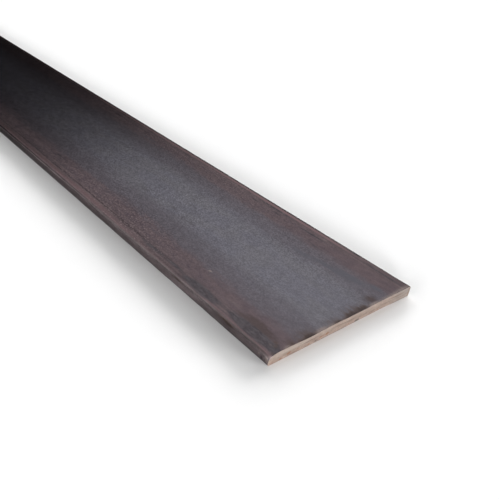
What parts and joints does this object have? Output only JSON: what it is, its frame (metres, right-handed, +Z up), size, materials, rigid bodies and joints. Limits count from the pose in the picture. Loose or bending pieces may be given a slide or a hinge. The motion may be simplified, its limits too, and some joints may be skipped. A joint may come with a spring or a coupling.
{
  "type": "metal flat bar",
  "caption": "Hot-rolled steel flat bar, a long straight strip of rectangular section with rounded rolled edges and sheared ends, for framing and brackets.",
  "frame": {"origin": "middle of the bottom face, halfway along the bar and on the floor that it lies on", "axes": "+X along the bar's length towards the end that was struck on its top face, +Y across its width, +Z up through its thickness"},
  "size_m": [1, 0.1, 0.006],
  "materials": {
    "mill_scale_steel": "satin"
  },
  "bodies": {
    "root": {"flat_bar": "mill_scale_steel"}
  },
  "joints": []
}
